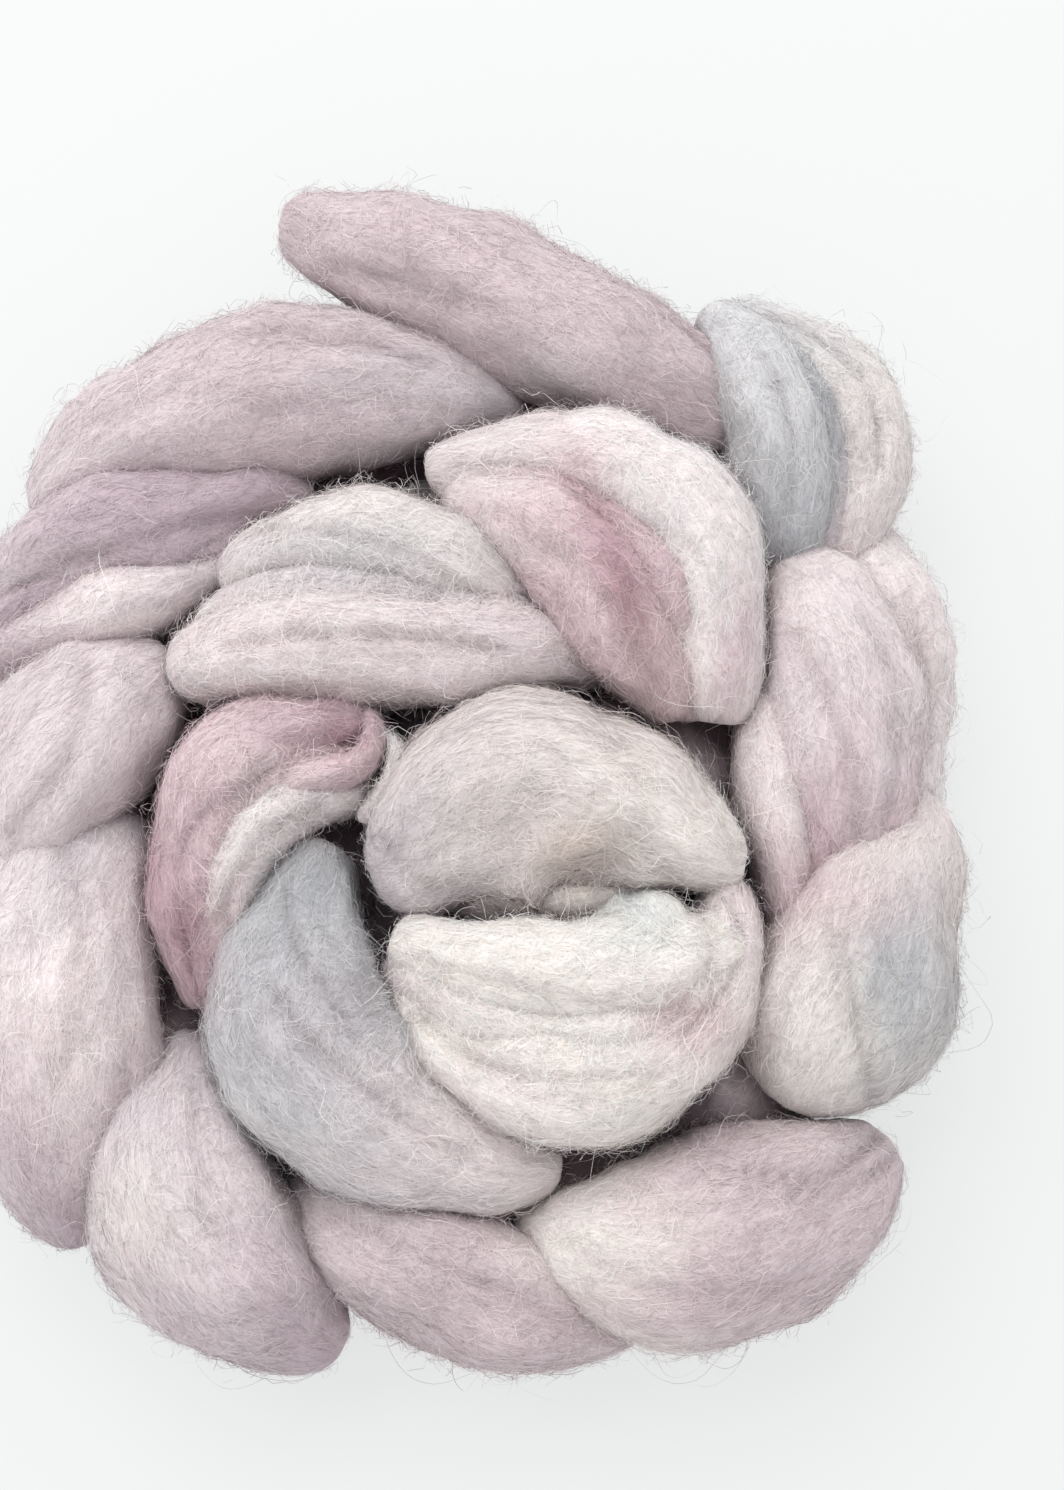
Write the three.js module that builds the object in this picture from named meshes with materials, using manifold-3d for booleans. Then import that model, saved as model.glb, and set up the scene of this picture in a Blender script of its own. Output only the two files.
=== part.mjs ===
// A length of hand-dyed combed wool top, looped into a soft chain and coiled flat into a nest.
// One continuous piece. Millimetres, +Z up; the nest lies on z = 0, centred in plan on the origin.
import * as THREE from 'three';
import { mergeVertices } from 'three/addons/utils/BufferGeometryUtils.js';
import Module from 'manifold-3d';

const wasm = await Module();
wasm.setup();

// The folds below are measured from a point near the heart of the nest; this brings them to the
// middle of the whole length and breadth.
const NEST_MIDDLE = { x: 0.04, y: 5.68 };

// A fold is a closed ball drawn out along its strand: its sections round the strand and along it.
const FOLD_SECTIONS = { around: 10, along: 8 };
const UNDER_SECTIONS = { around: 8, along: 5 };
// How blunt a fold's two ends are: 1 gives an ellipsoid's ends, less gives fuller ones.
const END_BLUNTNESS = 0.3;

// The parts of the nest that rest on the table press flat; the wool above fills this much height.
const CLEAR_HEIGHT = 120;
const CLEAR_SPREAD = 400;

// Every fold that shows from above, round the outer turn, then the inner turn, then the heart.
// A bed fills the valley between two folds that are halves of one loop.
// Columns: name; the middle of the strand at even steps from the fold's start over its crest to its
// end; half its width at those places; half its depth at those places.
const FOLDS = [
  ['tail', [[-46, 148, 38], [13, 122, 47], [72, 94, 36]], [13, 20, 15], [14, 20, 15]],
  ['grip_front', [[66, 123, 36], [80, 88, 44], [82, 55, 34]], [10, 14.5, 10], [13, 18, 13]],
  ['grip_bed', [[68, 123, 33], [91, 91.5, 40], [89, 55.5, 31]], [8, 10.5, 8], [13, 14, 12.5]],
  ['grip_back', [[70, 123, 32], [102, 95, 38], [96, 56, 30]], [9, 13.5, 10], [13, 18, 13]],
  ['east_low', [[102, 67, 26], [112, 36, 27], [115, -6, 26]], [12, 15, 11], [14, 18, 14]],
  ['east_bed', [[80, 40, 36], [88, 1, 42], [88, -39, 33]], [8, 11, 6], [13, 15.5, 12.5]],
  ['east_high', [[84, 56, 36], [97, 14, 44], [93, -34, 34]], [13, 21, 9], [13, 19, 13]],
  ['east_lip', [[77, 24, 38], [79, -11, 42], [84, -43, 33]], [7, 9.5, 6], [12, 16, 12]],
  ['south_east', [[115, -5, 28], [98, -46, 42], [83, -77, 32]], [12, 25.5, 20], [14, 21, 16]],
  ['south', [[16, -108, 28], [60, -113, 42], [104, -92, 28]], [11, 25, 15], [13, 21, 14]],
  ['south_low', [[-41, -101, 28], [-3, -122, 37], [42, -135, 24]], [10, 18, 9], [12, 19, 12]],
  ['south_west', [[-67, -66, 28], [-62, -108, 42], [-31, -137, 24]], [11, 25, 11], [13, 21, 13]],
  ['west', [[-88, -8, 30], [-99, -60, 42], [-94, -113, 26]], [14, 26, 11], [14, 22, 13]],
  ['west_high', [[-76, 28, 34], [-98, 7, 43], [-116, -16, 30]], [15, 23, 18], [14, 20, 15]],
  ['north_west_bed', [[-48, 64, 34], [-85, 53, 40], [-120.5, 40, 30]], [7, 11, 9], [12, 14.5, 12]],
  ['north_west_low', [[-56, 54, 36], [-88, 42, 41], [-120, 30, 33]], [7, 10.5, 9], [12, 16, 12]],
  ['north_west_high', [[-40, 74, 34], [-82, 64, 41], [-121, 50, 30]], [9, 15.5, 13], [12, 18, 14]],
  ['north', [[14, 98, 32], [-49, 99, 43], [-111, 73, 28]], [11, 24.5, 13], [13, 21, 14]],
  ['crook_outer', [[-8, 78, 46], [50, 65, 55], [63, 13, 46]], [9, 17, 13], [13, 18, 14]],
  ['crook_inner', [[-2, 70, 46], [33, 48, 55], [54, 15, 46]], [8, 15, 12], [13, 18, 13]],
  ['crook_bed', [[-5, 74, 45], [41.5, 56.5, 53.5], [58.5, 14, 45]], [9, 13, 11], [13, 16.5, 13]],
  ['inner_north', [[-59, 49, 42], [-19, 57, 51], [22, 38, 42]], [9, 14, 9], [12, 16, 12]],
  ['inner_north_low', [[-70, 26, 44], [-23, 31, 53], [36, 28, 42]], [11, 16, 9], [14, 18, 12]],
  ['inner_north_bed', [[-64, 37, 42], [-21, 43.5, 51], [29, 33, 41.5]], [9, 11, 8], [12, 13.5, 11]],
  ['inner_west', [[-21, 12, 46], [-59, -5, 51], [-62, -56, 38]], [10, 13, 9], [13, 17, 12]],
  ['inner_west_low', [[-23, -4, 44], [-53, -20, 49], [-57, -61, 36]], [7, 10, 7], [12, 15, 11]],
  ['inner_west_bed', [[-22, 4, 44], [-56, -13, 49], [-60, -58, 36]], [7, 9, 7], [12, 14, 11.5]],
  ['curl', [[-22, 12.5, 52], [-21, 6, 55], [-25, 0, 56], [-34, -2.5, 55], [-44, -6.5, 51]],
    [3, 3.8, 4.6, 5.5, 5], [7, 8, 8.5, 9, 9]],
  ['wisp', [[-17.5, 7.5, 50], [-15, -1.5, 54], [-23, -11.5, 49]], [2.5, 3.4, 3], [7, 8, 7]],
  ['inner_south', [[-33, -19, 42], [-32, -72, 53], [24, -96, 40]], [15, 23, 11], [14, 20, 13]],
  ['heart_south', [[-13, -53.5, 44], [5.5, -69.5, 51], [32.5, -75, 55], [57, -60.5, 54], [65, -29, 44]],
    [10, 14, 15, 14, 10], [14, 17, 18, 17, 14]],
  ['heart_middle', [[-14, -42, 50], [6.5, -47.5, 55], [29, -51, 57], [49.5, -49, 56], [67.5, -40.5, 49]],
    [12, 13, 15, 14.5, 10], [13, 15.5, 17, 16, 12]],
  ['heart_bed', [[-15, -46.5, 46], [5, -58.5, 51], [31, -63, 54], [53.5, -55, 53], [66, -35, 46]],
    [9, 12, 13, 12, 9], [13, 15.5, 16.5, 15.5, 13]],
  ['heart_lobe', [[40, -34.5, 48], [47, -47.5, 56], [55.5, -61.5, 52]], [11, 15, 12], [12, 15, 13]],
  ['heart_north', [[-15.5, -23, 46], [-1, -14.5, 54], [22, -8, 57], [47, -14.5, 55], [66, -22, 48]],
    [16, 24, 26.5, 18.5, 13], [14, 17, 18, 16, 13]],
  ['heart_lip', [[-6, -31, 43], [20, -31, 49], [44, -28, 47]], [6, 8, 6], [10, 12, 10]],
];

// The turns underneath: each a ring of like folds that lap one over the next, out then in.
// The middle of the ring, its reach to the sides and to the ends, how many folds, the length of
// each, half its width and depth, the height of its crest and how far its ends swing off the ring.
const UNDER_RINGS = [
  {
    x: 0, y: -1, across: 92, along: 107, folds: 12, turn: 15,
    length: 70, wide: 26, deep: 21, z: 17.5, sway: 7,
  },
  {
    x: 3, y: -6, across: 51, along: 63, folds: 8, turn: 12,
    length: 64, wide: 28, deep: 23, z: 19.5, sway: 6,
  },
  {
    x: 3, y: -6, across: 12, along: 16, folds: 3, turn: 30,
    length: 48, wide: 21, deep: 24.5, z: 21, sway: 4,
  },
];
// An under fold narrows and thins towards its ends, where it also sinks a little.
const UNDER_END = { narrow: 0.62, thin: 0.75, sink: 3 };

// The smooth value at u, from 0 to 1, of a run that passes through evenly spaced stations.
function through(stations, u) {
  const last = stations.length - 1;
  return stations.reduce((sum, value, i) => {
    const share = stations.reduce((part, _, j) => (j === i ? part : (part * (u * last - j)) / (i - j)), 1);
    return sum + value * share;
  }, 0);
}

function pathPoint(path, u) {
  const at = (axis) => through(path.map((station) => station[axis]), u);
  return new THREE.Vector3(at(0), at(1), at(2));
}

// A closed ball whose poles are the fold's two ends, drawn out along the path.
function foldGeometry(path, wide, deep, sections) {
  const ball = new THREE.SphereGeometry(1, sections.around, sections.along);
  ball.deleteAttribute('normal');
  ball.deleteAttribute('uv');
  const fold = mergeVertices(ball);
  const position = fold.attributes.position;
  const up = new THREE.Vector3(0, 0, 1);
  const step = 0.01;
  for (let i = 0; i < position.count; i += 1) {
    const side = position.getZ(i);
    const rise = position.getX(i);
    const u = (position.getY(i) + 1) / 2;
    const round = Math.hypot(side, rise);
    const fill = round > 1e-6 ? round ** (END_BLUNTNESS - 1) : 0;
    const ahead = pathPoint(path, u + step).sub(pathPoint(path, u - step)).normalize();
    const across = new THREE.Vector3().crossVectors(up, ahead).normalize();
    const above = new THREE.Vector3().crossVectors(ahead, across);
    const point = pathPoint(path, u)
      .addScaledVector(across, side * fill * through(wide, u))
      .addScaledVector(above, rise * fill * through(deep, u));
    position.setXYZ(i, point.x - NEST_MIDDLE.x, point.y - NEST_MIDDLE.y, point.z);
  }
  return fold;
}

function underFolds(ring) {
  const folds = [];
  for (let i = 0; i < ring.folds; i += 1) {
    const angle = THREE.MathUtils.degToRad(ring.turn + (360 * i) / ring.folds);
    const crest = new THREE.Vector3(Math.cos(angle) * ring.across, Math.sin(angle) * ring.along, 0);
    const ahead = new THREE.Vector3(-Math.sin(angle) * ring.across, Math.cos(angle) * ring.along, 0);
    ahead.normalize();
    const outward = new THREE.Vector3(ahead.y, -ahead.x, 0);
    crest.add(new THREE.Vector3(ring.x, ring.y, ring.z));
    const end = (way, swing) => crest.clone()
      .addScaledVector(ahead, (way * ring.length) / 2)
      .addScaledVector(outward, swing)
      .add(new THREE.Vector3(0, 0, -UNDER_END.sink));
    const path = [end(-1, ring.sway / 2), crest, end(1, -1.5 * ring.sway)];
    const wide = [ring.wide * UNDER_END.narrow, ring.wide, ring.wide * UNDER_END.narrow];
    const deep = [ring.deep * UNDER_END.thin, ring.deep, ring.deep * UNDER_END.thin];
    folds.push(foldGeometry(path.map((p) => p.toArray()), wide, deep, UNDER_SECTIONS));
  }
  return folds;
}

function toSolid(geometry) {
  return new wasm.Manifold(new wasm.Mesh({
    numProp: 3,
    vertProperties: Float32Array.from(geometry.attributes.position.array),
    triVerts: Uint32Array.from(geometry.index.array),
  }));
}

function toGeometry(solid) {
  const mesh = solid.getMesh();
  const geometry = new THREE.BufferGeometry();
  geometry.setAttribute('position', new THREE.BufferAttribute(Float32Array.from(mesh.vertProperties), 3));
  geometry.setIndex(new THREE.BufferAttribute(Uint32Array.from(mesh.triVerts), 1));
  geometry.computeVertexNormals();
  return geometry;
}

// Wool has no sealed bubbles: of the joined body's surfaces only the outer one is kept.
function outerBody(solid) {
  return solid.decompose().reduce((most, body) => (body.volume() > most.volume() ? body : most));
}

const folds = FOLDS.map(([, path, wide, deep]) => foldGeometry(path, wide, deep, FOLD_SECTIONS));
const allFolds = [...folds, ...UNDER_RINGS.flatMap(underFolds)].map(toSolid);
const joined = allFolds.reduce((nest, fold) => nest.add(fold));

const clear = new THREE.BoxGeometry(CLEAR_SPREAD, CLEAR_SPREAD, CLEAR_HEIGHT);
clear.deleteAttribute('normal');
clear.deleteAttribute('uv');
clear.translate(0, 0, CLEAR_HEIGHT / 2);
const nest = outerBody(joined.intersect(toSolid(mergeVertices(clear))));

const wool = new THREE.MeshStandardMaterial({ color: 0xd9cfd4, roughness: 0.95, metalness: 0 });
const braid = new THREE.Mesh(toGeometry(nest), wool);
braid.name = 'top_braid';

const part = new THREE.Group();
part.add(braid);
export default part;
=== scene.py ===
# A hand-dyed length of combed wool top, looped into a chain and coiled flat into a soft nest.
import math

import bmesh
import bpy
import numpy as np
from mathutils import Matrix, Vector
from mathutils.bvhtree import BVHTree


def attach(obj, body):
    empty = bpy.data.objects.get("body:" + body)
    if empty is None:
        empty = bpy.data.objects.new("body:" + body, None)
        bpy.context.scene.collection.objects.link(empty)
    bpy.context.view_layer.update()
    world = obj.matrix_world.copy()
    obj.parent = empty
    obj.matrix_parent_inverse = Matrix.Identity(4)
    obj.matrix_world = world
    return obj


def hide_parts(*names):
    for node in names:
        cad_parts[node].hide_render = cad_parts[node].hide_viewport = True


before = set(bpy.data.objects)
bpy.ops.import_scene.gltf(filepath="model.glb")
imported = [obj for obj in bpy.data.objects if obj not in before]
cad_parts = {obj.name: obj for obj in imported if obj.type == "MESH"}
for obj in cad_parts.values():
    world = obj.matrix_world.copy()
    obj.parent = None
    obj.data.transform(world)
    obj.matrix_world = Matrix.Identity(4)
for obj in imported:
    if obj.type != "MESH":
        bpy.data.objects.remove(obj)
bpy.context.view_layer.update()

MM = 0.001

# The middle of the nest's length and breadth, from the point that the folds are measured from.
NEST_MIDDLE = np.array([0.04, 5.68, 0.0])
# The power of the half circle that a fold's ends are drawn in by; 1 would round them like a ball's.
END_BLUNTNESS = 0.3

# Dyes as the eye sees them, red, green and blue out of 255.
DYES = {
    "cream": (247, 240, 234),
    "pearl": (232, 226, 224),
    "pale_blue": (226, 230, 230),
    "petal": (238, 226, 227),
    "pale_pink": (246, 236, 236),
    "shell": (226, 217, 214),
    "blush": (225, 213, 216),
    "dusk": (214, 198, 202),
    "pink": (226, 204, 209),
    "rose": (214, 190, 197),
    "deep_rose": (188, 148, 160),
    "mauve": (196, 178, 186),
    "lilac": (216, 207, 211),
    "silver": (214, 213, 215),
    "slate": (184, 186, 190),
    "sand": (222, 206, 196),
}

# The folds that show from above, in millimetres, as the part's source has them, with their dyes.
# Columns: name; the middle of the strand at even steps from the fold's start over its crest to its
# end; half its width and half its depth at those places; the dye at the start, crest and end. A bed
# fills the valley between two halves of one loop.
OUTER_FOLDS = [
    ("tail", [[-46, 148, 38], [13, 122, 47], [72, 94, 36]], [13, 20, 15], [14, 20, 15],
     ["dusk", "dusk", "dusk"]),
    ("grip_front", [[66, 123, 36], [80, 88, 44], [82, 55, 34]], [10, 14.5, 10], [13, 18, 13],
     ["silver", "silver", "slate"]),
    ("grip_bed", [[68, 123, 33], [91, 91.5, 40], [89, 55.5, 31]], [8, 10.5, 8], [13, 14, 12.5],
     ["silver", "slate", "blush"]),
    ("grip_back", [[70, 123, 32], [102, 95, 38], [96, 56, 30]], [9, 13.5, 10], [13, 18, 13],
     ["silver", "pearl", "petal"]),
    ("east_low", [[102, 67, 26], [112, 36, 27], [115, -6, 26]], [12, 15, 11], [14, 18, 14],
     ["pale_pink", "petal", "pale_pink"]),
    ("east_bed", [[80, 40, 36], [88, 1, 42], [88, -39, 33]], [8, 11, 6], [13, 15.5, 12.5],
     ["petal", "rose", "rose"]),
    ("east_high", [[84, 56, 36], [97, 14, 44], [93, -34, 34]], [13, 21, 9], [13, 19, 13],
     ["petal", "blush", "rose"]),
    ("east_lip", [[77, 24, 38], [79, -11, 42], [84, -43, 33]], [7, 9.5, 6], [12, 16, 12],
     ["petal", "petal", "rose"]),
    ("south_east", [[115, -5, 28], [98, -46, 42], [83, -77, 32]], [12, 25.5, 20], [14, 21, 16],
     ["petal", "shell", "pearl"]),
    ("south", [[16, -108, 28], [60, -113, 42], [104, -92, 28]], [11, 25, 15], [13, 21, 14],
     ["cream", "dusk", "dusk"]),
    ("south_low", [[-41, -101, 28], [-3, -122, 37], [42, -135, 24]], [10, 18, 9], [12, 19, 12],
     ["blush", "dusk", "dusk"]),
    ("south_west", [[-67, -66, 28], [-62, -108, 42], [-31, -137, 24]], [11, 25, 11], [13, 21, 13],
     ["lilac", "blush", "mauve"]),
    ("west", [[-88, -8, 30], [-99, -60, 42], [-94, -113, 26]], [14, 26, 11], [14, 22, 13],
     ["lilac", "petal", "mauve"]),
    ("west_high", [[-76, 28, 34], [-98, 7, 43], [-116, -16, 30]], [15, 23, 18], [14, 20, 15],
     ["blush", "blush", "petal"]),
    ("north_west_bed", [[-48, 64, 34], [-85, 53, 40], [-120.5, 40, 30]], [7, 11, 9], [12, 14.5, 12],
     ["mauve", "mauve", "mauve"]),
    ("north_west_low", [[-56, 54, 36], [-88, 42, 41], [-120, 30, 33]], [7, 10.5, 9], [12, 16, 12],
     ["blush", "petal", "mauve"]),
    ("north_west_high", [[-40, 74, 34], [-82, 64, 41], [-121, 50, 30]], [9, 15.5, 13], [12, 18, 14],
     ["mauve", "mauve", "blush"]),
    ("north", [[14, 98, 32], [-49, 99, 43], [-111, 73, 28]], [11, 24.5, 13], [13, 21, 14],
     ["lilac", "dusk", "blush"]),
]
INNER_FOLDS = [
    ("crook_outer", [[-8, 78, 46], [50, 65, 55], [63, 13, 46]], [9, 17, 13], [13, 18, 14],
     ["petal", "pale_pink", "pale_pink"]),
    ("crook_inner", [[-2, 70, 46], [33, 48, 55], [54, 15, 46]], [8, 15, 12], [13, 18, 13],
     ["petal", "pink", "pink"]),
    ("crook_bed", [[-5, 74, 45], [41.5, 56.5, 53.5], [58.5, 14, 45]], [9, 13, 11], [13, 16.5, 13],
     ["petal", "pink", "rose"]),
    ("inner_north", [[-59, 49, 42], [-19, 57, 51], [22, 38, 42]], [9, 14, 9], [12, 16, 12],
     ["petal", "pearl", "petal"]),
    ("inner_north_low", [[-70, 26, 44], [-23, 31, 53], [36, 28, 42]], [11, 16, 9], [14, 18, 12],
     ["petal", "petal", "blush"]),
    ("inner_north_bed",
     [[-64, 37, 42], [-21, 43.5, 51], [29, 33, 41.5]], [9, 11, 8], [12, 13.5, 11],
     ["petal", "blush", "lilac"]),
    ("inner_west", [[-21, 12, 46], [-59, -5, 51], [-62, -56, 38]], [10, 13, 9], [13, 17, 12],
     ["rose", "pink", "rose"]),
    ("inner_west_low", [[-23, -4, 44], [-53, -20, 49], [-57, -61, 36]], [7, 10, 7], [12, 15, 11],
     ["pale_pink", "pale_pink", "pink"]),
    ("inner_west_bed", [[-22, 4, 44], [-56, -13, 49], [-60, -58, 36]], [7, 9, 7], [12, 14, 11.5],
     ["rose", "pink", "rose"]),
    ("curl",
     [[-22, 12.5, 52], [-21, 6, 55], [-25, 0, 56], [-34, -2.5, 55], [-44, -6.5, 51]],
     [3, 3.8, 4.6, 5.5, 5], [7, 8, 8.5, 9, 9],
     ["rose", "pink", "pink"]),
    ("wisp", [[-17.5, 7.5, 50], [-15, -1.5, 54], [-23, -11.5, 49]], [2.5, 3.4, 3], [7, 8, 7],
     ["silver", "pearl", "petal"]),
    ("inner_south", [[-33, -19, 42], [-32, -72, 53], [24, -96, 40]], [15, 23, 11], [14, 20, 13],
     ["slate", "silver", "petal"]),
    ("heart_south",
     [[-13, -53.5, 44], [5.5, -69.5, 51], [32.5, -75, 55], [57, -60.5, 54], [65, -29, 44]],
     [10, 14, 15, 14, 10], [14, 17, 18, 17, 14],
     ["cream", "cream", "petal"]),
    ("heart_middle",
     [[-14, -42, 50], [6.5, -47.5, 55], [29, -51, 57], [49.5, -49, 56], [67.5, -40.5, 49]],
     [12, 13, 15, 14.5, 10], [13, 15.5, 17, 16, 12],
     ["cream", "cream", "cream"]),
    ("heart_bed",
     [[-15, -46.5, 46], [5, -58.5, 51], [31, -63, 54], [53.5, -55, 53], [66, -35, 46]],
     [9, 12, 13, 12, 9], [13, 15.5, 16.5, 15.5, 13],
     ["petal", "cream", "petal"]),
    ("heart_lobe",
     [[40, -34.5, 48], [47, -47.5, 56], [55.5, -61.5, 52]], [11, 15, 12], [12, 15, 13],
     ["pale_blue", "cream", "cream"]),
    ("heart_north",
     [[-15.5, -23, 46], [-1, -14.5, 54], [22, -8, 57], [47, -14.5, 55], [66, -22, 48]],
     [16, 24, 26.5, 18.5, 13], [14, 17, 18, 16, 13],
     ["lilac", "shell", "cream"]),
    ("heart_lip", [[-6, -31, 43], [20, -31, 49], [44, -28, 47]], [6, 8, 6], [10, 12, 10],
     ["lilac", "pearl", "sand"]),
]

# The turns underneath, rings of like folds that lap one over the next. Sizes in millimetres, but
# turn is the angle in degrees at which a ring's first fold lies.
UNDER_RINGS = [
    {"x": 0, "y": -1, "across": 92, "along": 107, "folds": 12, "turn": 15, "length": 70,
     "wide": 26, "deep": 21, "z": 17.5, "sway": 7},
    {"x": 3, "y": -6, "across": 51, "along": 63, "folds": 8, "turn": 12, "length": 64,
     "wide": 28, "deep": 23, "z": 19.5, "sway": 6},
    {"x": 3, "y": -6, "across": 12, "along": 16, "folds": 3, "turn": 30, "length": 48,
     "wide": 21, "deep": 24.5, "z": 21, "sway": 4},
]
# An underneath fold's ends: their share of its width and of its depth, and how far they sink.
UNDER_END = {"narrow": 0.62, "thin": 0.75, "sink": 3}
UNDER_DYES = ["blush", "lilac", "petal", "silver", "rose"]

# Patches where a dye took more or less strongly. Columns: x, y of the middle, reach across and
# along in millimetres, how far the patch is turned in degrees, dye, strength.
DYE_PATCHES = [
    (107, -55, 13, 20, -12, "slate", 1.0),
    (84, -66, 16, 12, 0, "cream", 0.7),
    (40, 44, 5, 27, 22, "deep_rose", 0.95),
    (50, 24, 7, 11, 20, "sand", 0.45),
    (67, 24, 5, 15, -5, "rose", 0.6),
    (-70, -34, 6, 16, 10, "deep_rose", 0.6),
    (-62, -46, 6, 12, 10, "deep_rose", 0.6),
    (-28, 9, 5, 8, 40, "deep_rose", 0.6),
    (-45, -5, 7, 16, 50, "petal", 0.5),
    (-30, 50, 26, 8, 0, "silver", 0.6),
    (-76, -106, 8, 11, 10, "cream", 0.5),
    (30, -110, 14, 9, 0, "cream", 0.75),
    (30, -24, 10, 7, 0, "sand", 0.75),
    (56, -62, 13, 8, -20, "pink", 0.7),
    (42, -38, 11, 9, 0, "pale_blue", 0.6),
    (-92, 62, 26, 8, -15, "mauve", 0.5),
    (88, -32, 16, 9, 0, "rose", 0.6),
    (4, -87, 19, 13, 0, "petal", 0.85),
    (24, 98, 12, 8, 0, "silver", 0.3),
    (-32, -62, 15, 17, 0, "mauve", 0.3),
]

# Soft creases in the folds, pressed into the skin and painted with shade. Columns: fold; the
# crease's start, middle and end in plan; how deep it presses in and half its width, in millimetres.
CREASES = [
    ("tail", [-34, 131], [-16, 123], [12, 115], 1.4, 2.2),
    ("tail", [36, 128], [52, 118], [67, 104], 1.6, 1.9),
    ("tail", [-10, 112], [20, 98], [48, 91], 1.2, 2.5),
    ("north", [-52, 109], [-28, 108], [-6, 103], 2.2, 1.9),
    ("north", [-86, 90], [-65, 93], [-40, 90], 0.9, 2.8),
    ("north_west_high", [-112, 47], [-84, 56], [-53, 65], 1.4, 1.9),
    ("north_west_low", [-99, 30], [-77, 36], [-62, 44], 1.2, 1.6),
    ("inner_north", [-52, 59], [-24, 55], [3, 43], 1.5, 1.3),
    ("inner_north_low", [-55, 28], [-20, 30], [10, 27], 1.8, 1.9),
    ("inner_north_low", [-50, 18], [-28, 18], [-7, 17], 1.2, 1.6),
    ("crook_outer", [3, 75], [32, 64], [56, 35], 1.3, 2.2),
    ("crook_inner", [10, 61], [34, 40], [47, 19], 0.8, 1.9),
    ("grip_back", [80, 119], [100, 103], [106, 77], 1.6, 1.3),
    ("grip_front", [76, 104], [82, 85], [82, 64], 1.2, 1.6),
    ("east_low", [112, 46], [117, 25], [118, 5], 1.5, 1.9),
    ("east_high", [83, 32], [93, 5], [98, -20], 1.4, 2.5),
    ("east_high", [101, 37], [107, 11], [103, -15], 1.1, 2.2),
    ("south_east", [90, -42], [94, -59], [100, -81], 1.6, 1.9),
    ("south_east", [82, -47], [77, -61], [73, -75], 1.0, 2.2),
    ("south", [66, -96], [85, -98], [102, -89], 2.6, 1.6),
    ("south", [79, -102], [94, -100], [105, -94], 1.6, 1.6),
    ("south", [26, -112], [54, -124], [84, -120], 1.1, 2.5),
    ("south_low", [-30, -107], [-4, -117], [25, -131], 1.3, 1.9),
    ("south_west", [-63, -76], [-59, -93], [-56, -110], 1.6, 1.6),
    ("south_west", [-50, -82], [-39, -105], [-30, -132], 1.3, 1.9),
    ("west", [-97, -19], [-89, -44], [-93, -75], 1.3, 2.5),
    ("west", [-85, -27], [-78, -57], [-82, -85], 0.9, 1.9),
    ("west_high", [-92, 25], [-94, 2], [-109, -16], 1.5, 2.5),
    ("inner_west", [-66, -26], [-60, -13], [-38, -1], 1.8, 1.6),
    ("inner_west", [-64, -33], [-65, -44], [-59, -54], 1.4, 1.6),
    ("inner_west_low", [-56, -37], [-48, -21], [-33, -10], 1.4, 1.6),
    ("inner_south", [-41, -28], [-34, -49], [-15, -73], 1.7, 1.3),
    ("inner_south", [-27, -21], [-19, -40], [-13, -57], 1.6, 1.6),
    ("inner_south", [-40, -57], [-25, -74], [3, -94], 1.6, 1.9),
    ("heart_south", [-9, -60], [14, -74], [46, -74], 1.2, 1.9),
    ("heart_south", [66, -34], [66, -50], [52, -66], 1.6, 1.4),
    ("heart_south", [2, -68], [24, -80], [50, -74], 0.6, 1.9),
    ("heart_middle", [-12, -46], [10, -53], [38, -58], 0.9, 1.6),
    ("heart_middle", [58, -36], [60, -48], [52, -60], 1.4, 1.6),
    ("heart_north", [25, -31], [32, -28], [37, -27], 3.5, 4.2),
    ("heart_north", [34, 14], [38, 4], [44, -8], 1.4, 3.0),
    ("heart_north", [42, -18], [50, -27], [55, -34], 1.2, 1.9),
    ("heart_north", [-17, -20], [-6, -30], [15, -34], 1.4, 2.2),
]
CREASE_STEPS = 33
# How fast the painted shade in a crease darkens for each millimetre that it presses in.
CREASE_SHADE = 0.14
# Painted shade: how open the wool is where it is painted darkest, how much more open where it has
# its full colour, the share of its colour that the darkest wool keeps, and the power that the share
# rises by.
DARK_BELOW = {"upper": 0.1, "under": 0.3}
FULL_LIGHT_OVER = 0.44
LEAST_LIGHT = 0.1
LIGHT_CURVE = 0.9
# The painted shade in hollows and creases keeps more of the red than of the green and blue.
SHADE_WARMTH = np.array([0.93, 1.05, 1.02])

# How the strand's fibres bunch: ridges round the strand, each with its count and its height.
BUNDLES = [(2, 0.6), (3, 0.6), (5, 0.42), (9, 0.24), (17, 0.10)]
# How the wool puffs out: waves through it, each with its length and its height.
LUMPS = [(46, 0.9), (31, 0.6), (19, 0.35), (11, 0.16), (6, 0.08)]

BODY_SECTIONS = {"around": 60, "along": 40}
UNDER_SECTIONS = {"around": 28, "along": 16}

# How open the wool is comes from rays sent out over a grid on each fold, against plainer balls. A
# ray that meets wool at the end of its reach counts partly as open, and so does one that goes down
# past the nest to the table. The wool is painted with shade where it is less open.
OPENNESS_GRID = {"around": 44, "along": 26}
OPENNESS_BALL = {"around": 24, "along": 16}
OPENNESS_RAYS = 26
OPENNESS_REACH = 28.0
OPENNESS_CLEAR_OF_SKIN = 0.6
MET_AT_REACH = 0.45
TABLE_LIGHT = 0.4

# Painted shade: the body under the coat is painted a little darker than the fibres over it.
BODY_SHADE = 0.95
# How unevenly the fibres face the light, how light they are beside the dye, and the share of them
# that took little dye.
FACING_SPREAD = 0.2
FIBRE_LIGHT = (0.95, 1.16)
PALE_SHARE = 0.3

# The fibres drawn on the bodies are the lines where soft noises cross their middle value. Columns:
# the noise's cells to a millimetre across and along the strand, degrees turned, distortion.
GRAIN_LINES = [((1.1, 0.22), 12, 0.9), ((0.9, 0.28), -24, 1.1), ((0.7, 0.35), 48, 1.2)]
GRAIN_LINE_WIDTH = 0.12
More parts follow.
